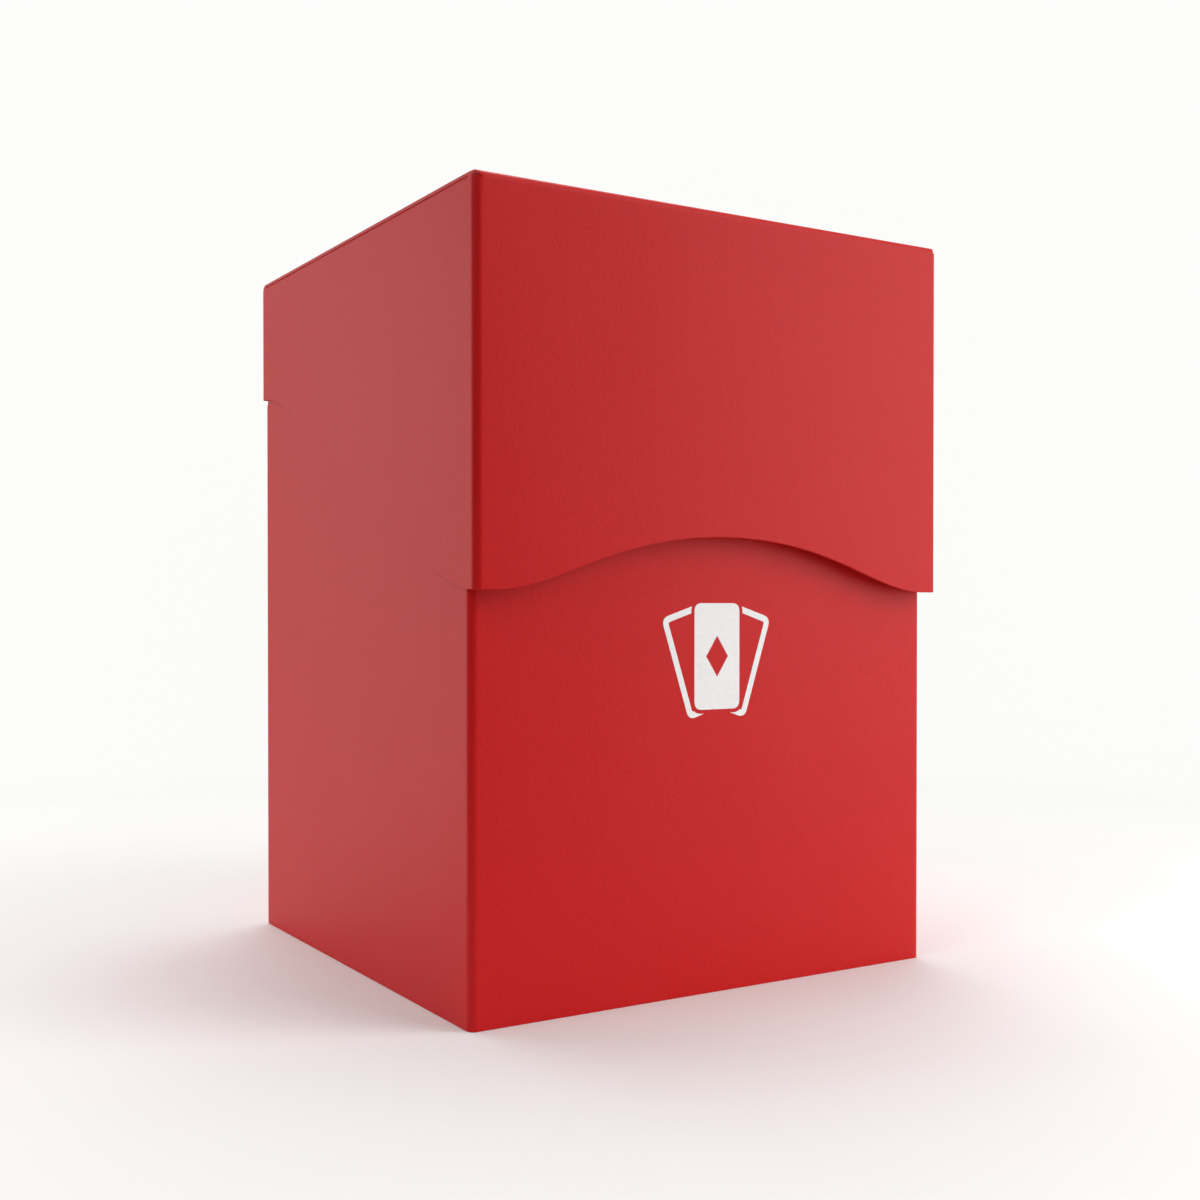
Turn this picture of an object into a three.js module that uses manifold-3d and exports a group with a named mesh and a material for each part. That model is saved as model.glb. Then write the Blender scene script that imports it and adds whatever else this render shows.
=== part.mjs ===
// Flip-top deck box for trading cards, folded from polypropylene sheet.
//
// Millimetres, +Z up, front towards -Y. The origin is the middle of the footprint, on the
// surface that the box stands on. The lid is a deep hood: it covers the upper part of the body
// on all sides and turns back about a crease in the rear wall. Each flat ply between two
// creases or cut edges is a part of its own, and the comments call them walls, flaps and tabs.

import * as THREE from 'three';
import Module from 'manifold-3d';
import { mergeVertices } from 'three/addons/utils/BufferGeometryUtils.js';

// The sheet
const SHEET = 0.45; // thickness of the plastic sheet
const PLY_GAP = 0.15; // air between plies that lie on each other or meet at a crease
const FOLDED = SHEET + PLY_GAP; // room that one ply takes behind the face of the next
const CUT_CORNER = 3; // clipped corner of a glue flap
const ROUND_CORNER = 3; // rounded corner of a rim that hands touch

// The body
const BODY_WIDTH = 69.7;
const BODY_DEPTH = 69.7;
const RIM_HEIGHT = 95.5; // top of the walls, inside the lid
const NOTCH_HALF_WIDTH = 17; // thumb notch in the front wall's rim
const NOTCH_DEPTH = 10;
const NOTCH_HANDLE = 8; // how long the notch stays level before it bends
const SEAM_WIDTH = 12; // glue flap inside the rear wall
const SEAM_LOW = 2.5;
const SEAM_TOP = 77;
const BASE_FLAP = 15; // height of the base's glue flaps, turned up inside three walls

// The lid
const HEIGHT = 98; // base to lid top, closed
const STANDOFF = 2.5; // lid front ahead of the body's front, so that it swings over the rim
const HINGE_HEIGHT = 80; // the crease, in the outer face of the rear wall
const GROOVE = 0.8; // height of the crease's groove
const WEB = 0.2; // thickness of the sheet in the groove
const FLAP_LOW = 50.7; // lower edge of the lid's front flap, at its corners
const WAVE_HEIGHT = 6.7; // rise of the flap's edge in the middle
const WAVE_HALF_WIDTH = 33;
const WAVE_CREST_HANDLE = 17; // how long the wave stays level at its crest
const WAVE_END_HANDLE = 8.5; // and at its ends
const SIDE_HANDLE = 16.5; // how long the lid side's lower edge stays level at each end
const TOP_TAB = 12; // glue tabs of the lid's sides, under its top
const REAR_TAB = 10; // and inside its rear wall
const REAR_TAB_LOW = 83;
const RELIEF = 2; // how far the body's sides stand back from the rear tabs
const RELIEF_LOW = 81;

// The divider
const DIVIDER_WIDTH = 67;
const DIVIDER_LOW = 0.8;
const DIVIDER_SHOULDER = 88;
const DIVIDER_TOP = 93.5;
const DIVIDER_TAB = 24; // width of its raised index tab
const DIVIDER_PLACE = 33; // where it stands, behind the cards

// The print
const INK = 0.1;
const INK_GAP = 0.05;
const EMBLEM_HEIGHT = 42.5; // middle of the front card above the base
const CARD_WIDTH = 7;
const CARD_HEIGHT = 13.4;
const CARD_CORNER = 1.1;
const CARD_STROKE = 0.8; // line of the two outlined cards
const CARD_GAP = 0.5; // bare sheet around the front card
const FAN_RADIUS = 10; // from the fan's pivot to a card's middle
const FAN_ANGLE = THREE.MathUtils.degToRad(18);
const PIP_HALF_WIDTH = 1.7;
const PIP_HALF_HEIGHT = 2.6;

const CURVE_STEPS = 14;

// Places that follow from the sizes
const BODY_SIDE = BODY_WIDTH / 2;
const REAR = (BODY_DEPTH + STANDOFF) / 2;
const LID_FRONT = -REAR;
const BODY_FRONT = LID_FRONT + STANDOFF;
const LID_SIDE = BODY_SIDE + FOLDED;
const LID_REAR_LOW = HINGE_HEIGHT + GROOVE / 2;
const LID_WALL_TOP = HEIGHT - FOLDED;

const wasm = await Module();
wasm.setup();

const redSheet = new THREE.MeshStandardMaterial({ color: '#bf262b', roughness: 0.5, metalness: 0 });
const whiteInk = new THREE.MeshStandardMaterial({ color: '#f3f1ee', roughness: 0.6, metalness: 0 });

// The three ways a ply can lie: which axes its outline runs along, and where its low face goes.
const AXIS_X = new THREE.Vector3(1, 0, 0);
const AXIS_Y = new THREE.Vector3(0, 1, 0);
const AXIS_Z = new THREE.Vector3(0, 0, 1);
const ACROSS = {
  turn: new THREE.Matrix4().makeBasis(AXIS_X, AXIS_Z, AXIS_Y.clone().negate()),
  place: (low, thickness) => new THREE.Vector3(0, low + thickness, 0),
};
const ALONG = {
  turn: new THREE.Matrix4().makeBasis(AXIS_Y, AXIS_Z, AXIS_X),
  place: (low) => new THREE.Vector3(low, 0, 0),
};
const LEVEL = {
  turn: new THREE.Matrix4(),
  place: (low) => new THREE.Vector3(0, 0, low),
};

// A ply of the given outline, whose lowest face across the sheet is at low.
function ply(name, outline, lie, low, thickness = SHEET, material = redSheet) {
  const geometry = extrude(outline, thickness);
  const mesh = new THREE.Mesh(geometry, material);
  mesh.name = name;
  mesh.quaternion.setFromRotationMatrix(lie.turn);
  mesh.position.copy(lie.place(low, thickness));
  return mesh;
}

function extrude(outline, thickness) {
  return new THREE.ExtrudeGeometry(outline, {
    depth: thickness,
    bevelEnabled: false,
    curveSegments: CURVE_STEPS,
  });
}

function polygon(points) {
  return new THREE.Shape(points.map(([across, up]) => new THREE.Vector2(across, up)));
}

function rectangle(left, bottom, right, top) {
  return polygon([[left, bottom], [right, bottom], [right, top], [left, top]]);
}

// A glue flap: a rectangle whose two corners on the far side from its crease are clipped.
// reach is how far it extends from the crease, and may be negative.
function flap(crease, reach, start, end, swap = false) {
  const far = crease + reach;
  const shoulder = far - Math.sign(reach) * CUT_CORNER;
  const corners = [
    [crease, start], [shoulder, start], [far, start + CUT_CORNER],
    [far, end - CUT_CORNER], [shoulder, end], [crease, end],
  ];
  return polygon(swap ? corners.map(([a, b]) => [b, a]) : corners);
}

function roundedCard(width, height, corner) {
  const x = width / 2;
  const y = height / 2;
  const card = new THREE.Shape();
  card.moveTo(-x + corner, -y);
  card.lineTo(x - corner, -y);
  card.quadraticCurveTo(x, -y, x, -y + corner);
  card.lineTo(x, y - corner);
  card.quadraticCurveTo(x, y, x - corner, y);
  card.lineTo(-x + corner, y);
  card.quadraticCurveTo(-x, y, -x, y - corner);
  card.lineTo(-x, -y + corner);
  card.quadraticCurveTo(-x, -y, -x + corner, -y);
  return card;
}

// Body

function frontWallOutline() {
  const notchLow = RIM_HEIGHT - NOTCH_DEPTH;
  const wall = new THREE.Shape();
  wall.moveTo(-BODY_SIDE, 0);
  wall.lineTo(BODY_SIDE, 0);
  wall.lineTo(BODY_SIDE, RIM_HEIGHT);
  wall.lineTo(NOTCH_HALF_WIDTH, RIM_HEIGHT);
  wall.bezierCurveTo(
    NOTCH_HALF_WIDTH - NOTCH_HANDLE, RIM_HEIGHT, NOTCH_HANDLE, notchLow, 0, notchLow,
  );
  wall.bezierCurveTo(
    -NOTCH_HANDLE, notchLow, NOTCH_HANDLE - NOTCH_HALF_WIDTH, RIM_HEIGHT, -NOTCH_HALF_WIDTH, RIM_HEIGHT,
  );
  wall.lineTo(-BODY_SIDE, RIM_HEIGHT);
  return wall;
}

// Above the crease the rear edge stands back, to leave room for the lid's rear tabs.
function sideWallOutline() {
  const front = BODY_FRONT + FOLDED;
  const rear = REAR - FOLDED;
  const wall = new THREE.Shape();
  wall.moveTo(front, 0);
  wall.lineTo(rear, 0);
  wall.lineTo(rear, RELIEF_LOW);
  wall.lineTo(rear - RELIEF, RELIEF_LOW);
  wall.lineTo(rear - RELIEF, RIM_HEIGHT - ROUND_CORNER);
  wall.quadraticCurveTo(rear - RELIEF, RIM_HEIGHT, rear - RELIEF - ROUND_CORNER, RIM_HEIGHT);
  wall.lineTo(front, RIM_HEIGHT);
  return wall;
}

function bodyWalls() {
  const rearWall = rectangle(-BODY_SIDE, FOLDED, BODY_SIDE, HINGE_HEIGHT - GROOVE / 2);
  const seam = flap(BODY_SIDE - FOLDED, -SEAM_WIDTH, SEAM_LOW, SEAM_TOP);
  return [
    ply('body_front_panel', frontWallOutline(), ACROSS, BODY_FRONT),
    ply('body_left_panel', sideWallOutline(), ALONG, -BODY_SIDE),
    ply('body_right_panel', sideWallOutline(), ALONG, BODY_SIDE - SHEET),
    ply('body_rear_panel', rearWall, ACROSS, REAR - SHEET),
    ply('body_seam_flap', seam, ACROSS, REAR - SHEET - FOLDED),
  ];
}

// The base folds from the rear wall's lower edge, and its three glue flaps turn up inside the
// other walls, whose lower edges are plain cut edges.
function base() {
  const inside = BODY_SIDE - FOLDED;
  const front = BODY_FRONT + FOLDED;
  const rear = REAR - FOLDED - PLY_GAP;
  const panel = rectangle(-inside, front, inside, REAR);
  const frontFlap = flap(FOLDED, BASE_FLAP, -inside + FOLDED, inside - FOLDED, true);
  const sideFlap = flap(FOLDED, BASE_FLAP, front, rear - SHEET, true);
  return [
    ply('base_panel', panel, LEVEL, 0),
    ply('base_front_flap', frontFlap, ACROSS, front),
    ply('base_left_flap', sideFlap, ALONG, -inside),
    ply('base_right_flap', sideFlap, ALONG, inside - SHEET),
  ];
}

// The thin web of sheet that bends when the lid opens, between the groove's two shoulders.
function hingeWeb() {
  const half = GROOVE / 2 - PLY_GAP;
  const strip = rectangle(-BODY_SIDE, HINGE_HEIGHT - half, BODY_SIDE, HINGE_HEIGHT + half);
  return ply('hinge_web', strip, ACROSS, REAR - WEB, WEB);
}

// Lid

// Level at both corners, with one smooth crest in the middle of the lower edge.
function lidFrontOutline() {
  const crest = FLAP_LOW + WAVE_HEIGHT;
  const bend = WAVE_HALF_WIDTH - WAVE_END_HANDLE;
  const wall = new THREE.Shape();
  wall.moveTo(-LID_SIDE, LID_WALL_TOP);
  wall.lineTo(-LID_SIDE, FLAP_LOW);
  wall.lineTo(-WAVE_HALF_WIDTH, FLAP_LOW);
  wall.bezierCurveTo(-bend, FLAP_LOW, -WAVE_CREST_HANDLE, crest, 0, crest);
  wall.bezierCurveTo(WAVE_CREST_HANDLE, crest, bend, FLAP_LOW, WAVE_HALF_WIDTH, FLAP_LOW);
  wall.lineTo(LID_SIDE, FLAP_LOW);
  wall.lineTo(LID_SIDE, LID_WALL_TOP);
  return wall;
}

// The lower edge rises from the front flap's corner to the crease in one S-curve.
function lidSideOutline() {
  const front = LID_FRONT + FOLDED;
  const rear = REAR - FOLDED;
  const wall = new THREE.Shape();
  wall.moveTo(front, LID_WALL_TOP);
  wall.lineTo(front, FLAP_LOW);
  wall.bezierCurveTo(
    front + SIDE_HANDLE, FLAP_LOW, rear - SIDE_HANDLE, LID_REAR_LOW, rear, LID_REAR_LOW,
  );
  wall.lineTo(rear, LID_WALL_TOP);
  return wall;
}

function lidWalls() {
  const top = rectangle(-LID_SIDE, LID_FRONT, LID_SIDE, REAR);
  const rearWall = rectangle(-LID_SIDE, LID_REAR_LOW, LID_SIDE, LID_WALL_TOP);
  return [
    ply('lid_top_panel', top, LEVEL, HEIGHT - SHEET),
    ply('lid_front_panel', lidFrontOutline(), ACROSS, LID_FRONT),
    ply('lid_left_panel', lidSideOutline(), ALONG, -LID_SIDE),
    ply('lid_right_panel', lidSideOutline(), ALONG, LID_SIDE - SHEET),
    ply('lid_rear_panel', rearWall, ACROSS, REAR - SHEET),
  ];
}

// Glue tabs of one side of the lid: side is -1 on the left and 1 on the right.
function lidTabs(sideName, side) {
  const crease = side * (LID_SIDE - FOLDED);
  const front = LID_FRONT + FOLDED;
  const rear = REAR - FOLDED;
  const tabTop = LID_WALL_TOP - FOLDED;
  const topTab = flap(crease, -side * TOP_TAB, front, rear);
  const rearTab = flap(crease, -side * REAR_TAB, REAR_TAB_LOW, tabTop - PLY_GAP);
  return [
    ply(`lid_${sideName}_top_tab`, topTab, LEVEL, LID_WALL_TOP - SHEET),
    ply(`lid_${sideName}_rear_tab`, rearTab, ACROSS, rear - SHEET),
  ];
}

// Divider

function divider() {
  const side = DIVIDER_WIDTH / 2;
  const tabEnd = DIVIDER_TAB - side;
  const card = new THREE.Shape();
  card.moveTo(-side, DIVIDER_LOW);
  card.lineTo(side, DIVIDER_LOW);
  card.lineTo(side, DIVIDER_SHOULDER - ROUND_CORNER);
  card.quadraticCurveTo(side, DIVIDER_SHOULDER, side - ROUND_CORNER, DIVIDER_SHOULDER);
  card.lineTo(tabEnd + ROUND_CORNER, DIVIDER_SHOULDER);
  card.bezierCurveTo(tabEnd, DIVIDER_SHOULDER, tabEnd, DIVIDER_TOP, tabEnd - ROUND_CORNER, DIVIDER_TOP);
  card.lineTo(ROUND_CORNER - side, DIVIDER_TOP);
  card.quadraticCurveTo(-side, DIVIDER_TOP, -side, DIVIDER_TOP - ROUND_CORNER);
  return ply('card_divider', card, ACROSS, DIVIDER_PLACE - SHEET / 2);
}

// Print: a fan of three playing cards, two in outline behind a filled one with a diamond pip.

function solidOf(outline) {
  const geometry = extrude(outline, INK);
  geometry.deleteAttribute('normal');
  geometry.deleteAttribute('uv');
  const merged = mergeVertices(geometry);
  return new wasm.Manifold(new wasm.Mesh({
    numProp: 3,
    vertProperties: new Float32Array(merged.attributes.position.array),
    triVerts: new Uint32Array(merged.index.array),
  }));
}

function geometryOf(solid) {
  const { vertProperties, triVerts } = solid.getMesh();
  const geometry = new THREE.BufferGeometry();
  geometry.setAttribute('position', new THREE.BufferAttribute(vertProperties, 3));
  geometry.setIndex(new THREE.BufferAttribute(triVerts, 1));
  return geometry;
}

// A card of the fan, turned about the fan's pivot below it.
function fanCard(width, height, corner, angle) {
  const card = roundedCard(width, height, corner);
  const points = card.getPoints(CURVE_STEPS).map((point) => new THREE.Vector2(
    point.x * Math.cos(angle) - (point.y + FAN_RADIUS) * Math.sin(angle),
    point.x * Math.sin(angle) + (point.y + FAN_RADIUS) * Math.cos(angle) - FAN_RADIUS,
  ));
  return new THREE.Shape(points);
}

// The outline of a card, broken off where it nears the front card.
function outlinedCard(angle, nearFront) {
  const line = 2 * CARD_STROKE;
  const outer = solidOf(fanCard(CARD_WIDTH, CARD_HEIGHT, CARD_CORNER, angle));
  const inner = solidOf(
    fanCard(CARD_WIDTH - line, CARD_HEIGHT - line, CARD_CORNER - CARD_STROKE, angle),
  );
  return outer.subtract(inner).subtract(nearFront);
}

function printed(name, solid) {
  const mesh = new THREE.Mesh(geometryOf(solid), whiteInk);
  mesh.name = name;
  mesh.quaternion.setFromRotationMatrix(ACROSS.turn);
  mesh.position.set(0, BODY_FRONT - INK_GAP, EMBLEM_HEIGHT);
  return mesh;
}

function emblem() {
  const gap = 2 * CARD_GAP;
  const front = solidOf(fanCard(CARD_WIDTH, CARD_HEIGHT, CARD_CORNER, 0));
  const nearFront = solidOf(
    fanCard(CARD_WIDTH + gap, CARD_HEIGHT + gap, CARD_CORNER + CARD_GAP, 0),
  );
  const pip = solidOf(polygon([
    [0, -PIP_HALF_HEIGHT], [PIP_HALF_WIDTH, 0], [0, PIP_HALF_HEIGHT], [-PIP_HALF_WIDTH, 0],
  ]));
  return [
    printed('emblem_left_card', outlinedCard(FAN_ANGLE, nearFront)),
    printed('emblem_front_card', front.subtract(pip)),
    printed('emblem_right_card', outlinedCard(-FAN_ANGLE, nearFront)),
  ];
}

function group(...parts) {
  return new THREE.Group().add(...parts.flat());
}

const body = group(bodyWalls(), base(), hingeWeb(), emblem());
const lid = group(lidWalls(), lidTabs('left', -1), lidTabs('right', 1));
const deckBox = group(body, lid, divider());

export default deckBox;
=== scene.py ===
"""Looks of a flip-top card deck box, folded from polypropylene sheet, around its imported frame.

Lengths in this script are millimetres in the frame's own axes: +Z up, front towards -Y. They
become metres where a mesh, a light or the camera is made. The box is two folded sheets. The body
sheet wraps rear, left, front and right and turns under as the base; the lid sheet wraps left,
front and right and turns over as the top and the rear. A crease of thinned sheet joins them.
"""

import math

import bpy
import numpy as np
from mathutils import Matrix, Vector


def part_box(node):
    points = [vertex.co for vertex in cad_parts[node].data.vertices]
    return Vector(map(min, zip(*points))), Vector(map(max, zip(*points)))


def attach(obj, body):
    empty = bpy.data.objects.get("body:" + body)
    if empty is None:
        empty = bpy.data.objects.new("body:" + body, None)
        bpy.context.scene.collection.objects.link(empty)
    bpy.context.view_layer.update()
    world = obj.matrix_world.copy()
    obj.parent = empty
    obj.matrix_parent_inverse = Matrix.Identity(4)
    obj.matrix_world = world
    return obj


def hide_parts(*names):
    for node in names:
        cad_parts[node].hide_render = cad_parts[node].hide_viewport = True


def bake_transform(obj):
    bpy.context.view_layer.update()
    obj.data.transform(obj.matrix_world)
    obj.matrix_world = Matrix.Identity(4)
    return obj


MM = 0.001

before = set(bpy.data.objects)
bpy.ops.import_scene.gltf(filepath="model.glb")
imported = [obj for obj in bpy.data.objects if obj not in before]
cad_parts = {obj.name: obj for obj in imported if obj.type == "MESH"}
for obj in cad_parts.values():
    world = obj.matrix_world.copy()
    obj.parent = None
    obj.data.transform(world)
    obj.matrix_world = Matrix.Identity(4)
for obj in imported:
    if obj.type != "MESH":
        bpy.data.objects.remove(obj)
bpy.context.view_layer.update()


def span(node):
    """Lowest and highest corner of a node of the frame, in millimetres."""
    low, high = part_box(node)
    return np.array(low) / MM, np.array(high) / MM


# Places taken from the frame
BODY_FRONT = span("body_front_panel")[0][1]
RIM = span("body_front_panel")[1][2]
BODY_SIDE = span("body_right_panel")[1][0]
REAR = span("body_rear_panel")[1][1]
CREASE_LOW = span("body_rear_panel")[1][2]
SHEET = REAR - span("body_rear_panel")[0][1]
SEAM_LOW, SEAM_HIGH = span("body_seam_flap")
BASE_SIDE = span("base_right_flap")[1][0]
BASE_FRONT = span("base_front_flap")[0][1]
BASE_FLAP_TOP = span("base_front_flap")[1][2]
LID_FRONT = span("lid_front_panel")[0][1]
LID_SIDE = span("lid_right_panel")[1][0]
LID_TOP = span("lid_top_panel")[1][2]
FLAP_LOW = span("lid_front_panel")[0][2]
CREASE_HIGH = span("lid_rear_panel")[0][2]
REAR_TAB_LOW, REAR_TAB_HIGH = span("lid_right_rear_tab")
TOP_TAB_END = span("lid_right_top_tab")[0][0]
DIVIDER_LOW, DIVIDER_HIGH = span("card_divider")
CREASE_HEIGHT = (CREASE_LOW + CREASE_HIGH) / 2
GLUE_GAP = 0.04  # air between two plies that are glued on each other
LID_WALL_TOP = LID_TOP - SHEET - GLUE_GAP

# Sizes of the folds and of the curved edges
FOLD = 1.0  # outer radius of a fold that shows
TAB_FOLD = 0.5  # of a tab folded in under its neighbour
TRIM = 0.25  # how much narrower the top and rear are cut, so they don't stand proud of the sides
FOLD_STEPS = 8
FOLD_REACH = 1.1  # how far beside a fold the sheet turns paler: partly stress whitening, partly a painted highlight
STEP = 0.8  # spacing of the columns along a wall
CREASE_STEP = 4.0  # and along the crease
WALL_ROWS = 16
CUT_EDGE = 0.07  # rounding that the die leaves on a cut edge
CLIP = 3.0  # clipped or rounded corner
TOP_CORNER = 3.5  # length of the rounded corner cut in the top, at each end of its front fold
WAVE_HALF = 33.0
WAVE_HEIGHT = 6.7
WAVE_CREST_HANDLE = 17.0
WAVE_END_HANDLE = 8.5
SIDE_HANDLE = 16.5
NOTCH_HALF = 17.0
NOTCH_DEPTH = 10.0
NOTCH_HANDLE = 8.0
RELIEF_LOW = 81.0
RELIEF_BACK = 33.5
SLOPE = 0.5  # width of a step in an edge
TOUCHING = 1e-6  # places closer than this are the same place
SHOULDER = 88.0  # the divider's top edge, beside its index tab
INDEX_TAB_END = -9.5
CREASE_DIP = 0.20  # how deep the crease is pressed into the outer face
CREASE_BACK_DIP = 0.05  # and into the inner face
INK_RISE = 0.025  # how far the print stands proud of the sheet
INK_ROOT = 0.01  # and how far it reaches into it, so that no light gets between


# Shapes


def eased(start, start_handle, end_handle, end, at):
    """Height at each place of a cubic curve that leaves and arrives level.

    start and end are (place, height); the handles are how far the curve holds its level.
    """
    t = np.linspace(0, 1, 400)
    ahead = math.copysign(1, end[0] - start[0])
    places = np.array([start[0], start[0] + ahead * start_handle, end[0] - ahead * end_handle, end[0]])
    heights = np.array([start[1], start[1], end[1], end[1]])
    weights = np.array([(1 - t) ** 3, 3 * t * (1 - t) ** 2, 3 * t * t * (1 - t), t**3])
    x = places @ weights
    y = heights @ weights
    order = np.argsort(x)
    return np.interp(at, x[order], y[order])


def stations(stops, step=STEP):
    """Places from the first stop to the last: every stop, and equal steps between two stops."""
    stops = np.array(sorted(set(np.round(stops, 6))))
    parts = [
        np.linspace(a, b, max(1, math.ceil((b - a) / step)), endpoint=False)
        for a, b in zip(stops[:-1], stops[1:])
    ]
    return np.concatenate([*parts, stops[-1:]])


def folded_path(corners, radii, stops):
    """Points in a plane along straight runs that turn a right angle at each inner corner.

    A turn is centre - r cos(a) next + r sin(a) last, for an angle a from 0 to a quarter turn.
    stops are the places on each run, on the run's own axis, where a point has to be. Returns
    the points, the run that each is on, and how far each is through the turn after that run.
    """
    corners = np.array(corners, float)
    ways = np.diff(corners, axis=0)
    ways = ways / np.linalg.norm(ways, axis=1)[:, None]
    ends = [0, *radii, 0]
    points, runs, turns = [], [], []
    for k, way in enumerate(ways):
        axis = int(np.argmax(np.abs(way)))
        first = corners[k] + ends[k] * way
        last = corners[k + 1] - ends[k + 1] * way
        places = stations([first[axis], last[axis], *stops[k]])[:: int(way[axis])]
        run = np.repeat(first[None], len(places), axis=0)
        run[:, axis] = places
        points.append(run)
        runs.append(np.full(len(places), k))
        turns.append(np.zeros(len(places)))
        if k < len(radii):
            turn = np.arange(1, FOLD_STEPS) / FOLD_STEPS
            angle = turn[:, None] * math.pi / 2
            centre = last + radii[k] * ways[k + 1]
            points.append(centre + radii[k] * (np.sin(angle) * way - np.cos(angle) * ways[k + 1]))
            runs.append(np.full(len(turn), k))
            turns.append(turn)
    return np.concatenate(points), np.concatenate(runs), np.concatenate(turns)


def edge_line(path, runs, turns, edges):
    """Height of an edge along a folded path.

    edges gives each run's height as a function of (x, y); through a turn the height goes evenly
    from the end of one run to the start of the next.
    """
    by_run = np.array([np.broadcast_to(edge(path[:, 0], path[:, 1]), len(path)) for edge in edges])
    height = by_run[runs, np.arange(len(path))]
    turning = turns > 0
    on_run = np.flatnonzero(~turning)
    return np.interp(np.arange(len(path)) + 0.0, on_run, height[on_run])


def wall(corners, radii, stops, low, high):
    """A folded wall: point (u, v) is path(u) in plan and low(u) + v (high(u) - low(u)) in height."""
    path, runs, turns = folded_path(corners, radii, stops)
    bottom = edge_line(path, runs, turns, low)
    top = edge_line(path, runs, turns, high)
    v = np.linspace(0, 1, WALL_ROWS + 1)
    height = bottom[:, None] + v * (top - bottom)[:, None]
    plan = np.repeat(path[:, None], len(v), axis=1)
    return np.concatenate([plan, height[..., None]], axis=2)


def strip(across, path, half_width):
    """A profile carried across: point (u, v) is half_width(v) across(u) and path(v) in (y, z)."""
    u = across[:, None] * half_width[None]
    profile = np.repeat(path[None], len(across), axis=0)
    return np.concatenate([u[..., None], profile], axis=2)


def side_flap(along, corners, radius, cut):
    """A flap on the right: point (u, v) is at along(u) in depth and path(v) in (x, z), and the
    run after the turn is shorter by cut(u)."""
    path, runs, _ = folded_path(corners, [radius], [[], []])
    flat = runs == 1
    turned = path[flat][0]
    drawn = path[flat] - turned
    share = 1 - cut / np.linalg.norm(drawn[-1])
    profile = np.repeat(path[None], len(along), axis=0)
    profile[:, flat] = turned + drawn[None] * share[:, None, None]
    depth = np.repeat(along[:, None], len(path), axis=1)
    return np.stack([profile[..., 0], depth, profile[..., 1]], axis=-1)


def shell(outer, inner):
    """The grids of a closed piece: an outer face, the inner face behind it and four rims."""
    return [
        outer,
        inner[::-1],
        np.stack([inner[0], outer[0]]),
        np.stack([outer[-1], inner[-1]]),
        np.stack([inner[:, 0], outer[:, 0]], axis=1),
        np.stack([outer[:, -1], inner[:, -1]], axis=1),
    ]


def mirrored(grid):
    """The same grid on the left, with its columns turned round so that it still faces out."""
    return grid[::-1] * np.array([-1, 1, 1])


def clipped(place, end, corner=CLIP):
    """How much a clipped corner takes off at a place, near a flap's end."""
    return np.clip(corner - np.abs(end - place), 0, corner)


def rounded(place, end, corner=CLIP):
    """How much a rounded corner takes off at a place, near a card's end."""
    inside = np.clip(corner - np.abs(end - place), 0, corner)
    return corner - np.sqrt(np.maximum(corner**2 - inside**2, 0))


# Meshes


def joined(name, grids):
    """One mesh of several grids. Points that coincide become one, so the sheet is whole, and a
    face that has lost a corner at a pole becomes a triangle."""
    points = np.concatenate([grid.reshape(-1, 3) for grid in grids])
    faces, first = [], 0
    for grid in grids:
        number = first + np.arange(grid[..., 0].size).reshape(grid.shape[:2])
        corners = [number[:-1, :-1], number[1:, :-1], number[1:, 1:], number[:-1, 1:]]
        faces.append(np.stack(corners, axis=-1).reshape(-1, 4))
        first += grid[..., 0].size
    points, same = np.unique(np.round(points, 3), axis=0, return_inverse=True)
    faces = same.reshape(-1)[np.concatenate(faces)]
    corners = [tuple(dict.fromkeys(face)) for face in faces.tolist()]
    mesh = bpy.data.meshes.new(name)
    mesh.from_pydata((points * MM).tolist(), [], corners)
    mesh.validate()
    mesh.shade_smooth()
    thing = bpy.data.objects.new(name, mesh)
    bpy.context.scene.collection.objects.link(thing)
    return thing


def thickened(thing):
    """Gives a sheet its thickness behind the outer face, and softens its die-cut edges."""
    thick = thing.modifiers.new("sheet thickness", "SOLIDIFY")
    thick.thickness = SHEET * MM
    thick.offset = -1
    thick.use_even_offset = True
    thick.material_offset_rim = 1
    softened = thing.modifiers.new("cut edge", "BEVEL")
    softened.width = CUT_EDGE * MM
    softened.segments = 2
    softened.limit_method = "ANGLE"
    softened.angle_limit = math.radians(60)
    softened.use_clamp_overlap = False
    level = thing.modifiers.new("flat faces", "WEIGHTED_NORMAL")
    level.weight = 60
    return thing


def mark_folds(thing, lines):
    """Attribute "fold": exp(-(d / FOLD_REACH)^2) of the distance d to the nearest fold line.

    A line runs along axis 0, 1 or 2, at a place given by its other two coordinates.
    """
    points = np.zeros(len(thing.data.vertices) * 3, np.float32)
    thing.data.vertices.foreach_get("co", points)
    points = points.reshape(-1, 3) / MM
    apart = [
        np.linalg.norm(np.delete(points, axis, axis=1) - np.array(place), axis=1)
        for axis, place in lines
    ]
    nearest = np.min(apart, axis=0)
    attribute = thing.data.attributes.new("fold", "FLOAT", "POINT")
    attribute.data.foreach_set("value", np.exp(-((nearest / FOLD_REACH) ** 2)).astype(np.float32))


def dressed(thing, materials):
    """Gives a piece its materials, the first for its faces and a second for its cut edges."""
    for material in materials:
        thing.data.materials.append(material)
    return thing


# Materials

RED_LOW = "#c80f10"
RED_HIGH = "#cf1112"
# paler red near the folds: partly stress whitening of the sheet, partly a painted highlight
RED_FOLD_WHITENING_AND_HIGHLIGHT = "#d21d1f"
# paler reds of the cut edge: partly whitening from the cut, partly a painted highlight
EDGE_WHITENING_AND_HIGHLIGHT_LOW = "#c81416"
EDGE_WHITENING_AND_HIGHLIGHT_HIGH = "#d4282a"
INK_THIN = "#f4f3f2"
INK_FULL = "#fbfaf9"

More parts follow.
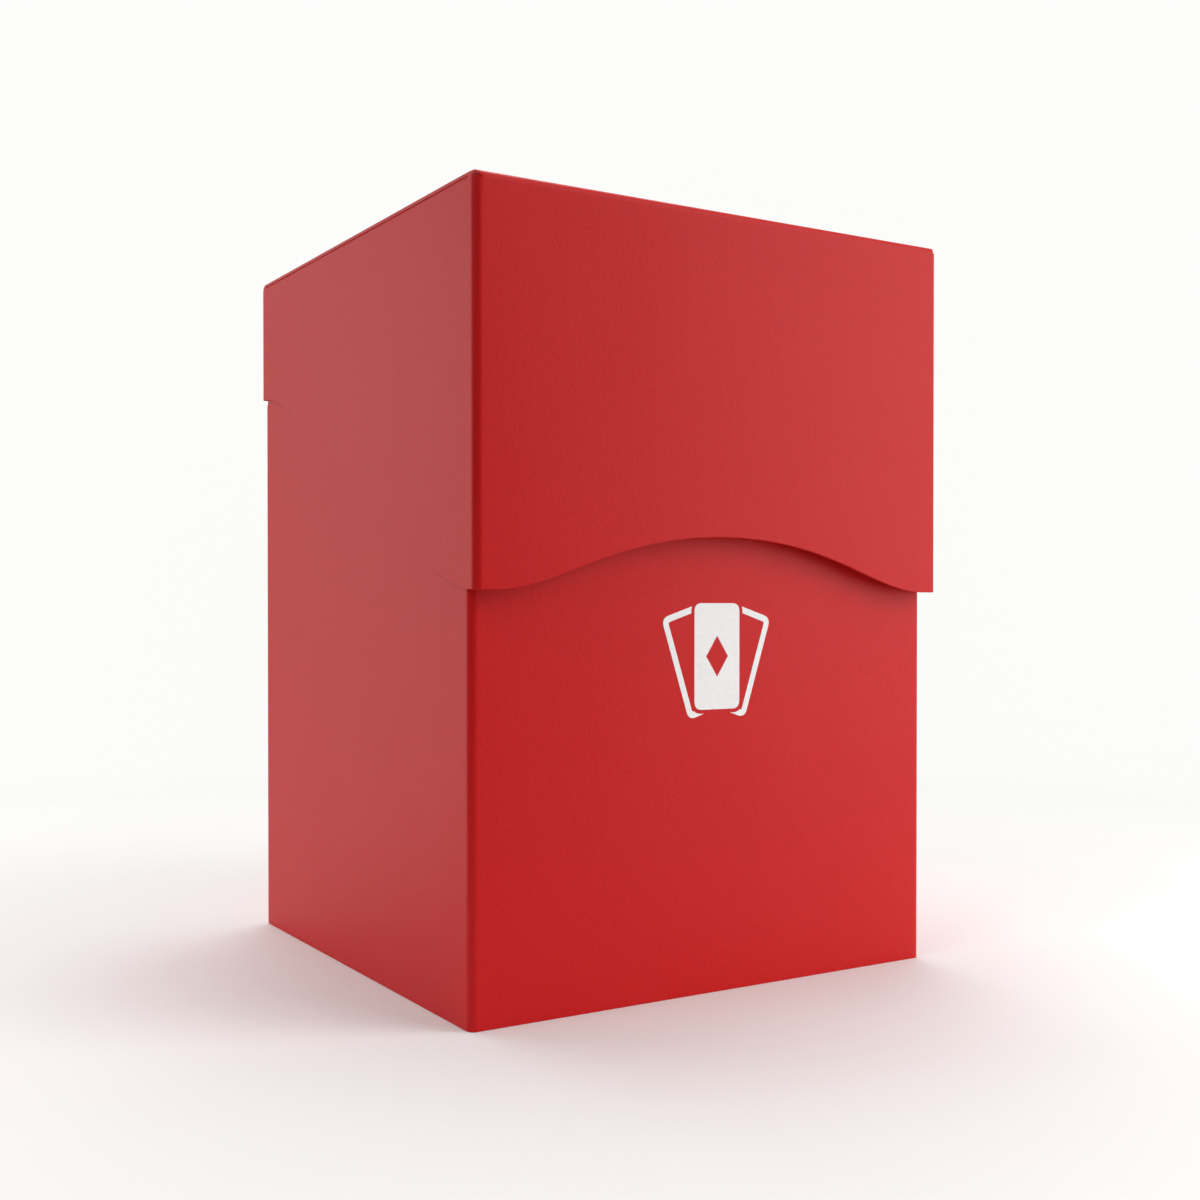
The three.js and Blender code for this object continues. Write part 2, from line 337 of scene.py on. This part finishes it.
# Sizes of the patterns, in millimetres
SAND = 0.36
FINE_SAND = 0.17
SHEET_WAVE = 24
DIE_RIB = 0.12
DIE_PATCH = 1.6
SCREEN_MESH = 0.15  # a real screen is finer, and would not show

# Grains of uneven size: two finer layers, each 0.55 times as strong as the one before
IRREGULAR = {"Detail": 2.0, "Roughness": 0.55}


def linear(code):
    """A colour from its sRGB hex code, as linear RGBA."""
    parts = [int(code[k : k + 2], 16) / 255 for k in (1, 3, 5)]
    return (*[p / 12.92 if p <= 0.04045 else ((p + 0.055) / 1.055) ** 2.4 for p in parts], 1)


def add(tree, kind, settings=None, links=None):
    """Adds a node: settings are its properties and inputs, with colours as hex codes, and links
    feed its inputs from sockets."""
    node = tree.nodes.new(kind)
    for name, value in (settings or {}).items():
        if str(value).startswith("#"):
            value = linear(value)
        if isinstance(name, int) or name in node.inputs:
            node.inputs[name].default_value = value
        else:
            setattr(node, name, value)
    for name, socket in (links or {}).items():
        tree.links.new(socket, node.inputs[name])
    return node


def new_material(name):
    """A material with an empty node tree, and that tree."""
    material = bpy.data.materials.new(name)
    material.use_nodes = True
    material.node_tree.nodes.clear()
    return material, material.node_tree


def per_metre(size):
    """The scale of a pattern whose size is given in millimetres."""
    return 1 / (size * MM)


def sand_embossed_polypropylene():
    """Extruded polypropylene sheet, embossed by a sand-blasted roll.

    A satin red whose shine is broken up into fine grains, over the soft unevenness of a sheet
    that is never quite flat. Near a fold it is paler: partly stress whitening, partly a painted
    highlight.
    """
    material, tree = new_material("sand_embossed_polypropylene")
    place = {"Vector": add(tree, "ShaderNodeTexCoord").outputs["Object"]}
    sand = add(tree, "ShaderNodeTexNoise", {"Scale": per_metre(SAND), **IRREGULAR}, place)
    fine = add(tree, "ShaderNodeTexNoise", {"Scale": per_metre(FINE_SAND), **IRREGULAR}, place)
    waves = add(
        tree, "ShaderNodeTexNoise",
        {"Scale": per_metre(SHEET_WAVE), "Detail": 1.0, "Roughness": 0.55}, place,
    )
    fold = add(tree, "ShaderNodeAttribute", {"attribute_name": "fold"})
    tone = add(
        tree, "ShaderNodeMapRange",
        {"From Min": 0.3, "From Max": 0.7}, {"Value": sand.outputs["Fac"]},
    )
    red = add(
        tree, "ShaderNodeMix",
        {"data_type": "RGBA", 6: RED_LOW, 7: RED_HIGH}, {0: tone.outputs["Result"]},
    )
    # Near a fold the red turns paler: partly stress whitening, partly a painted highlight
    fold_whitening_and_highlight = add(tree, "ShaderNodeMapRange", {"To Max": 0.18}, {"Value": fold.outputs["Fac"]})
    colour = add(
        tree, "ShaderNodeMix",
        {"data_type": "RGBA", 7: RED_FOLD_WHITENING_AND_HIGHLIGHT}, {0: fold_whitening_and_highlight.outputs["Result"], 6: red.outputs[2]},
    )
    rough = add(
        tree, "ShaderNodeMapRange",
        {"From Min": 0.25, "From Max": 0.75, "To Min": 0.40, "To Max": 0.52},
        {"Value": fine.outputs["Fac"]},
    )
    relief = {}
    for pattern, depth in ((waves, 0.25), (sand, 0.018), (fine, 0.009)):
        height = {"Height": pattern.outputs["Fac"]}
        bump = add(tree, "ShaderNodeBump", {"Distance": depth * MM}, height | relief)
        relief = {"Normal": bump.outputs["Normal"]}
    shader = add(
        tree, "ShaderNodeBsdfPrincipled",
        {"IOR": 1.49, "Specular IOR Level": 0.22, "Metallic": 0.0},
        {"Base Color": colour.outputs[2], "Roughness": rough.outputs["Result"], **relief},
    )
    add(tree, "ShaderNodeOutputMaterial", None, {"Surface": shader.outputs["BSDF"]})
    return material


def die_cut_polypropylene():
    """The sheet's cut edge: the steel rule shears it, so it is duller and finely ribbed across its
    thickness. It is also paler: partly whitened by the cut, partly a painted highlight."""
    material, tree = new_material("die_cut_polypropylene")
    place = {"Vector": add(tree, "ShaderNodeTexCoord").outputs["Object"]}
    ribs = add(tree, "ShaderNodeTexNoise", {"Scale": per_metre(DIE_RIB), **IRREGULAR}, place)
    patches = add(tree, "ShaderNodeTexNoise", {"Scale": per_metre(DIE_PATCH), **IRREGULAR}, place)
    # The cut edge is paler than the face: partly whitened by the cut, partly a painted highlight
    colour = add(
        tree, "ShaderNodeMix",
        {"data_type": "RGBA", 6: EDGE_WHITENING_AND_HIGHLIGHT_LOW, 7: EDGE_WHITENING_AND_HIGHLIGHT_HIGH}, {0: patches.outputs["Fac"]},
    )
    rough = add(
        tree, "ShaderNodeMapRange",
        {"From Min": 0.3, "From Max": 0.7, "To Min": 0.5, "To Max": 0.66},
        {"Value": ribs.outputs["Fac"]},
    )
    relief = add(tree, "ShaderNodeBump", {"Distance": 0.012 * MM}, {"Height": ribs.outputs["Fac"]})
    shader = add(
        tree, "ShaderNodeBsdfPrincipled",
        {"IOR": 1.49, "Metallic": 0.0},
        {"Base Color": colour.outputs[2], "Roughness": rough.outputs["Result"],
         "Normal": relief.outputs["Normal"]},
    )
    add(tree, "ShaderNodeOutputMaterial", None, {"Surface": shader.outputs["BSDF"]})
    return material


def screen_printed_white():
    """White screen ink, a few hundredths of a millimetre thick: flat and even, with the sheet's
    sand grain showing through it as a faint relief."""
    material, tree = new_material("screen_printed_white")
    place = {"Vector": add(tree, "ShaderNodeTexCoord").outputs["Object"]}
    sand = add(tree, "ShaderNodeTexNoise", {"Scale": per_metre(SAND), **IRREGULAR}, place)
    screen = add(tree, "ShaderNodeTexNoise", {"Scale": per_metre(SCREEN_MESH), **IRREGULAR}, place)
    tone = add(
        tree, "ShaderNodeMapRange",
        {"From Min": 0.3, "From Max": 0.7}, {"Value": sand.outputs["Fac"]},
    )
    colour = add(
        tree, "ShaderNodeMix",
        {"data_type": "RGBA", 6: INK_THIN, 7: INK_FULL}, {0: tone.outputs["Result"]},
    )
    rough = add(
        tree, "ShaderNodeMapRange",
        {"From Min": 0.3, "From Max": 0.7, "To Min": 0.45, "To Max": 0.6},
        {"Value": screen.outputs["Fac"]},
    )
    relief = add(tree, "ShaderNodeBump", {"Distance": 0.008 * MM}, {"Height": sand.outputs["Fac"]})
    shader = add(
        tree, "ShaderNodeBsdfPrincipled",
        {"IOR": 1.48, "Metallic": 0.0},
        {"Base Color": colour.outputs[2], "Roughness": rough.outputs["Result"],
         "Normal": relief.outputs["Normal"]},
    )
    add(tree, "ShaderNodeOutputMaterial", None, {"Surface": shader.outputs["BSDF"]})
    return material


# The body sheet


def notch_line(x, y):
    """The front wall's rim, with its thumb notch."""
    return eased((0, RIM - NOTCH_DEPTH), NOTCH_HANDLE, NOTCH_HANDLE, (NOTCH_HALF, RIM), np.abs(x))


def side_rim(x, y):
    """A side wall's rim: rounded at its rear end, and low behind that, beside the rear tabs."""
    front = RELIEF_BACK - SLOPE
    behind = [front, RELIEF_BACK, REAR - FOLD - SLOPE, REAR - FOLD]
    low = np.interp(y, behind, [RIM - CLIP, RELIEF_LOW, RELIEF_LOW, CREASE_LOW])
    return np.where(y <= front, RIM - rounded(y, front), low)


def rounding_stops(end, way):
    """Places along a rounded corner: end + way r (1 - cos(a)), for a from 0 to a quarter turn."""
    angle = np.linspace(0, math.pi / 2, 7)
    return list(end + way * CLIP * (1 - np.cos(angle)))


def body_sheet():
    """Rear, left, front and right walls with the glue seam, and the base with its glue flaps."""
    side = [RELIEF_BACK, REAR - FOLD - SLOPE, *rounding_stops(RELIEF_BACK - SLOPE, -1)]
    base_half = BASE_SIDE - TAB_FOLD
    seam_end = SEAM_LOW[0]
    corners = [
        (BODY_SIDE, REAR), (-BODY_SIDE, REAR), (-BODY_SIDE, BODY_FRONT),
        (BODY_SIDE, BODY_FRONT), (BODY_SIDE, SEAM_HIGH[1]), (seam_end, SEAM_HIGH[1]),
    ]
    corner = BODY_SIDE - FOLD
    stops = [
        [base_half, -base_half, corner], side, [NOTCH_HALF, -NOTCH_HALF, 0], side, [seam_end + CLIP],
    ]
    low = [
        lambda x, y: np.interp(np.abs(x), [base_half, corner], [FOLD, 0]),
        lambda x, y: 0 * y,
        lambda x, y: 0 * y,
        lambda x, y: 0 * y,
        lambda x, y: SEAM_LOW[2] + clipped(x, seam_end),
    ]
    high = [
        lambda x, y: CREASE_LOW + 0 * x,
        side_rim,
        notch_line,
        side_rim,
        lambda x, y: SEAM_HIGH[2] - clipped(x, seam_end),
    ]
    walls = wall(corners, [FOLD, FOLD, FOLD, TAB_FOLD], stops, low, high)

    profile, runs, _ = folded_path(
        [(REAR, FOLD), (REAR, 0), (BASE_FRONT, 0), (BASE_FRONT, BASE_FLAP_TOP)],
        [FOLD, TAB_FOLD],
        [[], [SEAM_LOW[1] - SLOPE], []],
    )
    across = stations([-base_half, base_half]) / base_half
    half = base_half - np.where(runs == 2, clipped(profile[:, 1], BASE_FLAP_TOP), 0)
    base = strip(across[::-1] * -1, profile, half)
    flat = (runs == 1) & (profile[:, 1] < TOUCHING) & (profile[:, 0] < SEAM_LOW[1] - SLOPE + TOUCHING)
    along = np.sort(profile[flat, 0])
    cut = clipped(along, along[0]) + clipped(along, along[-1])
    flap = side_flap(
        along, [(base_half, 0), (BASE_SIDE, 0), (BASE_SIDE, BASE_FLAP_TOP)], TAB_FOLD, cut
    )
    sheet = joined("body_sheet", [walls, base, flap, mirrored(flap)])
    upright = [(2, (x, y)) for x in (-BODY_SIDE, BODY_SIDE) for y in (BODY_FRONT, REAR)]
    mark_folds(sheet, [*upright, (0, (REAR, 0))])
    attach(thickened(sheet), "body")
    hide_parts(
        "body_front_panel", "body_left_panel", "body_right_panel", "body_rear_panel",
        "body_seam_flap", "base_panel", "base_front_flap", "base_left_flap", "base_right_flap",
    )
    return sheet


# The lid sheet


def wave_line(x, y):
    """The front flap's lower edge: level at the corners, with one crest in the middle."""
    crest = (0, FLAP_LOW + WAVE_HEIGHT)
    end = (WAVE_HALF, FLAP_LOW)
    return eased(crest, WAVE_CREST_HANDLE, WAVE_END_HANDLE, end, np.abs(x))


def lid_side_line(x, y):
    """A lid side's lower edge: one S-curve from the front flap's corner up to the crease."""
    front = (LID_FRONT + REAR - REAR_TAB_HIGH[1], FLAP_LOW)
    return eased(front, SIDE_HANDLE, SIDE_HANDLE, (REAR_TAB_HIGH[1], CREASE_HIGH), y)


def lid_sheet():
    """Left, front and right sides with their glue tabs, and the top that turns down as the rear."""
    back = REAR_TAB_HIGH[1]
    tab_end = REAR_TAB_LOW[0]
    tab_rear = back - TAB_FOLD - SLOPE
    tab_stops = [tab_rear, tab_rear - SLOPE, SLOPE - tab_rear, -tab_rear]

    def side_top(x, y):
        """A side ends at its tab's fold where it has the tab, and at a cut edge beside it."""
        ends = [-tab_rear, SLOPE - tab_rear, tab_rear - SLOPE, tab_rear]
        low = LID_WALL_TOP - TAB_FOLD
        return np.interp(y, ends, [LID_WALL_TOP, low, low, LID_WALL_TOP])

    corners = [
        (-tab_end, back), (-LID_SIDE, back), (-LID_SIDE, LID_FRONT),
        (LID_SIDE, LID_FRONT), (LID_SIDE, back), (tab_end, back),
    ]
    low = [
        lambda x, y: REAR_TAB_LOW[2] + clipped(np.abs(x), tab_end),
        lid_side_line,
        wave_line,
        lid_side_line,
        lambda x, y: REAR_TAB_LOW[2] + clipped(np.abs(x), tab_end),
    ]
    high = [
        lambda x, y: REAR_TAB_HIGH[2] - clipped(np.abs(x), tab_end),
        side_top,
        lambda x, y: LID_TOP - FOLD + 0 * x,
        side_top,
        lambda x, y: REAR_TAB_HIGH[2] - clipped(np.abs(x), tab_end),
    ]
    clip_stops = [tab_end + CLIP]
    stops = [[-tab_end - CLIP], tab_stops, [0], tab_stops, clip_stops]
    walls = wall(corners, [TAB_FOLD, FOLD, FOLD, TAB_FOLD], stops, low, high)

    front_half = LID_SIDE - FOLD
    profile, _, _ = folded_path(
        [(LID_FRONT, LID_TOP - FOLD), (LID_FRONT, LID_TOP), (REAR, LID_TOP), (REAR, CREASE_HIGH)],
        [FOLD, FOLD],
        [[], [], []],
    )
    drawn = np.cumsum(np.linalg.norm(np.diff(profile, axis=0, prepend=profile[:1]), axis=1))
    ahead = np.clip(1 - drawn / TOP_CORNER, 0, 1)
    across = stations([-front_half, 0, front_half]) / front_half
    top = strip(across, profile, front_half + (FOLD - TRIM) * np.sqrt(1 - ahead**2))

    y = walls[:, -1, 1]
    on_tab = (walls[:, -1, 0] > LID_SIDE - TOUCHING) & (np.abs(y) < tab_rear - SLOPE + TOUCHING)
    along = np.sort(y[on_tab])
    cut = clipped(along, along[0]) + clipped(along, along[-1])
    tab = side_flap(
        along,
        [(LID_SIDE, LID_WALL_TOP - TAB_FOLD), (LID_SIDE, LID_WALL_TOP), (TOP_TAB_END, LID_WALL_TOP)],
        TAB_FOLD,
        cut,
    )
    sheet = joined("lid_sheet", [walls, top, tab, mirrored(tab)])
    upright = [(2, (x, LID_FRONT)) for x in (-LID_SIDE, LID_SIDE)]
    mark_folds(sheet, [*upright, (0, (LID_FRONT, LID_TOP)), (0, (REAR, LID_TOP))])
    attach(thickened(sheet), "lid")
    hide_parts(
        "lid_front_panel", "lid_left_panel", "lid_right_panel", "lid_top_panel",
        "lid_rear_panel", "lid_left_top_tab", "lid_right_top_tab", "lid_left_rear_tab",
        "lid_right_rear_tab",
    )
    return sheet


# The crease, the divider and the print


def crease_strip():
    """The thinned sheet between body and lid. Each face dips by its depth times (1 - t^2), for t
    from -1 at the strip's lower end to 1 at its upper end."""
    t = np.linspace(-1, 1, 13)
    dip = 1 - t**2
    height = CREASE_HEIGHT + t * (CREASE_HIGH - CREASE_LOW) / 2
    end = BODY_SIDE - FOLD / 2
    across = stations([-end, end], CREASE_STEP) / end
    half = np.full(len(t), end)
    outer = strip(across, np.stack([REAR - CREASE_DIP * dip, height], axis=1)[::-1], half)
    inner = strip(across, np.stack([REAR - SHEET + CREASE_BACK_DIP * dip, height], axis=1)[::-1], half)
    crease = joined("crease_strip", shell(outer, inner))
    mark_folds(crease, [(0, (REAR, CREASE_HEIGHT))])
    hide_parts("hinge_web")
    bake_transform(crease)
    return crease


def divider_sheet():
    """The loose divider: its top edge steps from the index tab down to the shoulder."""
    side = DIVIDER_HIGH[0]
    steps = [INDEX_TAB_END - CLIP, INDEX_TAB_END + CLIP]
    ends = [*rounding_stops(side, -1), *rounding_stops(-side, 1)]
    x = stations([*steps, *ends])
    tab = (steps[0], DIVIDER_HIGH[2])
    top = eased(tab, CLIP, CLIP, (steps[1], SHOULDER), x) - rounded(x, side) - rounded(x, -side)
    v = np.linspace(0, 1, WALL_ROWS + 1)
    height = DIVIDER_LOW[2] + v * (top - DIVIDER_LOW[2])[:, None]
    width = np.repeat(x[:, None], len(v), axis=1)
    card = joined("divider_sheet", [np.stack([width, 0 * width + DIVIDER_LOW[1], height], axis=-1)])
    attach(thickened(card), "divider")
    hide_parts("card_divider")
    return card


def printed_card(node, name):
    """The print's outline is the node's own; its depth becomes that of a film of ink."""
    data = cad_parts[node].data
    points = np.zeros(len(data.vertices) * 3)
    data.vertices.foreach_get("co", points)
    points = points.reshape(-1, 3) / MM
    front = points[:, 1] < points[:, 1].mean()
    points[:, 1] = BODY_FRONT + np.where(front, -INK_RISE, INK_ROOT)
    corners = np.zeros(len(data.loops), np.int32)
    data.loops.foreach_get("vertex_index", corners)
    points, same = np.unique(np.round(points, 3), axis=0, return_inverse=True)
    faces = same.reshape(-1)[corners].reshape(-1, 3)
    mesh = bpy.data.meshes.new(name)
    mesh.from_pydata((points * MM).tolist(), [], faces.tolist())
    mesh.validate()
    card = bpy.data.objects.new(name, mesh)
    bpy.context.scene.collection.objects.link(card)
    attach(card, "body")
    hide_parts(node)
    return card


# The studio

FLOOR_LOW = "#f0f0ef"
FLOOR_HIGH = "#f5f5f4"
FLOOR_FADE = (60, 260)  # how far from its middle the floor starts to fade, and has faded
FLOOR_LEVEL = -0.02  # just under the base, so that the two don't flicker through each other
FIBRE_TOOTH = 0.6
CARD_CLOUD = 90
PAPER_LOW = "#fafaf9"
PAPER_HIGH = "#fefefd"
PAPER_SHADE = 4000
PAPER_DISTANCE = 6000
ROOM_BACK = (0.526, 0.851, 0.0)  # the way that the bright side of the room lies
ROOM_DIM = 0.15
ROOM_BRIGHT = 0.62
SOFT_BOXES = [
    ("box_overhead", (60, 190, 620), 420, 420, 2.0),
    ("box_above_right", (289, -345, 420), 400, 300, 1.10),
    ("box_above_left", (-443, -78, 480), 400, 300, 0.93),
    ("box_near_right", (191, -191, 90), 150, 200, 0.335),
    ("box_near_rear_left", (-190, 192, 80), 150, 240, 0.20),
]


def matt_card():
    """A sheet of matt card on the studio table: near white with a faint fibre tooth. It fades
    out far from the box, so that it has no edge."""
    material, tree = new_material("matt_card")
    place = add(tree, "ShaderNodeTexCoord").outputs["Object"]
    tooth = add(
        tree, "ShaderNodeTexNoise",
        {"Scale": per_metre(FIBRE_TOOTH), **IRREGULAR}, {"Vector": place},
    )
    cloud = add(
        tree, "ShaderNodeTexNoise",
        {"Scale": per_metre(CARD_CLOUD), **IRREGULAR}, {"Vector": place},
    )
    colour = add(
        tree, "ShaderNodeMix",
        {"data_type": "RGBA", 6: FLOOR_LOW, 7: FLOOR_HIGH}, {0: cloud.outputs["Fac"]},
    )
    relief = add(tree, "ShaderNodeBump", {"Distance": 0.02 * MM}, {"Height": tooth.outputs["Fac"]})
    card = add(
        tree, "ShaderNodeBsdfPrincipled",
        {"IOR": 1.45, "Roughness": 0.85},
        {"Base Color": colour.outputs[2], "Normal": relief.outputs["Normal"]},
    )
    far = add(tree, "ShaderNodeVectorMath", {"operation": "LENGTH"}, {0: place})
    fade = add(
        tree, "ShaderNodeMapRange",
        {"From Min": FLOOR_FADE[0] * MM, "From Max": FLOOR_FADE[1] * MM},
        {"Value": far.outputs["Value"]},
    )
    clear = add(tree, "ShaderNodeBsdfTransparent")
    out = add(
        tree, "ShaderNodeMixShader", None,
        {0: fade.outputs["Result"], 1: card.outputs["BSDF"], 2: clear.outputs["BSDF"]},
    )
    add(tree, "ShaderNodeOutputMaterial", None, {"Surface": out.outputs["Shader"]})
    return material


def floor():
    """A wide ring-by-ring disc under the box: point (u, v) is at radius r(v) and angle u."""
    angle = np.linspace(0, 2 * math.pi, 97)[:, None]
    radius = np.concatenate([[0], np.geomspace(20, FLOOR_FADE[1] * 1.05, 24)])[None]
    level = np.full((len(angle), radius.shape[1]), FLOOR_LEVEL)
    disc = joined("floor", [np.stack([radius * np.cos(angle), radius * np.sin(angle), level], -1)])
    disc.data.flip_normals()
    disc.data.materials.append(matt_card())


def seamless_paper():
    """Pale seamless paper behind everything, lit by lamps of its own: a glow that is a little
    uneven and never shades the box."""
    material, tree = new_material("seamless_paper")
    place = add(tree, "ShaderNodeTexCoord").outputs["Object"]
    shade = add(
        tree, "ShaderNodeTexNoise",
        {"Scale": per_metre(PAPER_SHADE), "Detail": 1.0, "Roughness": 0.55}, {"Vector": place},
    )
    colour = add(
        tree, "ShaderNodeMix",
        {"data_type": "RGBA", 6: PAPER_LOW, 7: PAPER_HIGH}, {0: shade.outputs["Fac"]},
    )
    glow = add(tree, "ShaderNodeEmission", {"Strength": 1.0}, {"Color": colour.outputs[2]})
    add(tree, "ShaderNodeOutputMaterial", None, {"Surface": glow.outputs["Emission"]})
    return material


def backdrop():
    """A far dome of paper: point (u, v) is at longitude u and latitude v on a wide sphere. Only
    the camera sees it, so the light on the box comes from the room and the soft boxes alone."""
    u = np.linspace(0, 2 * math.pi, 65)[:, None]
    v = np.linspace(-0.5, 0.5, 33)[None] * math.pi
    across = PAPER_DISTANCE * np.cos(v)
    height = PAPER_DISTANCE * np.sin(v) + 0 * u
    grid = np.stack([across * np.cos(u), across * np.sin(u), height], axis=-1)
    dome = joined("backdrop", [grid])
    dome.data.materials.append(seamless_paper())
    for ray in ("diffuse", "glossy", "transmission", "volume_scatter", "shadow"):
        setattr(dome, "visible_" + ray, False)


def soft_box(name, place, width, height, power):
    """A soft box at a place, turned to the middle of the box."""
    light = bpy.data.lights.new(name, "AREA")
    light.shape = "RECTANGLE"
    light.size = width * MM
    light.size_y = height * MM
    light.energy = power
    box = bpy.data.objects.new(name, light)
    box.location = [v * MM for v in place]
    ahead = Vector((0, 0, RIM / 2)) - Vector(place)
    box.rotation_euler = ahead.to_track_quat("-Z", "Y").to_euler()
    box.visible_camera = False
    bpy.context.scene.collection.objects.link(box)


def studio_world():
    """The pale room: brighter behind the box than on the side of its front."""
    world = bpy.data.worlds.new("pale_room")
    world.use_nodes = True
    tree = world.node_tree
    tree.nodes.clear()
    way = add(tree, "ShaderNodeTexCoord").outputs["Generated"]
    toward = add(tree, "ShaderNodeVectorMath", {"operation": "DOT_PRODUCT", 1: ROOM_BACK}, {0: way})
    share = add(
        tree, "ShaderNodeMapRange",
        {"interpolation_type": "SMOOTHSTEP", "From Min": 0.0, "From Max": 0.8,
         "To Min": ROOM_DIM, "To Max": ROOM_BRIGHT},
        {"Value": toward.outputs["Value"]},
    )
    light = {"Strength": share.outputs["Result"]}
    glow = add(tree, "ShaderNodeBackground", {"Color": (1, 1, 1, 1)}, light)
    add(tree, "ShaderNodeOutputWorld", None, {"Surface": glow.outputs["Background"]})
    bpy.context.scene.world = world


def camera():
    """Slightly left of the front, at mid height, level but for half a degree."""
    data = bpy.data.cameras.new("camera")
    data.lens = 44.16
    data.sensor_width = 36
    data.shift_y = 0.0177
    data.clip_start = 0.01
    data.clip_end = 50
    view = bpy.data.objects.new("camera", data)
    view.location = (-110.36 * MM, -184.02 * MM, 48.73 * MM)
    view.rotation_euler = (math.radians(89.44), 0, math.radians(-31.72))
    bpy.context.scene.collection.objects.link(view)
    bpy.context.scene.camera = view


camera()
studio_world()
for soft in SOFT_BOXES:
    soft_box(*soft)
floor()
backdrop()

sheet_finishes = [sand_embossed_polypropylene(), die_cut_polypropylene()]
for piece in (body_sheet(), lid_sheet(), crease_strip(), divider_sheet()):
    dressed(piece, sheet_finishes)
ink = screen_printed_white()
for side in ("left", "front", "right"):
    printed = printed_card(f"emblem_{side}_card", f"printed_{side}_card")
    dressed(printed, [ink])

bpy.context.scene.view_settings.view_transform = "Standard"
bpy.context.view_layer.update()
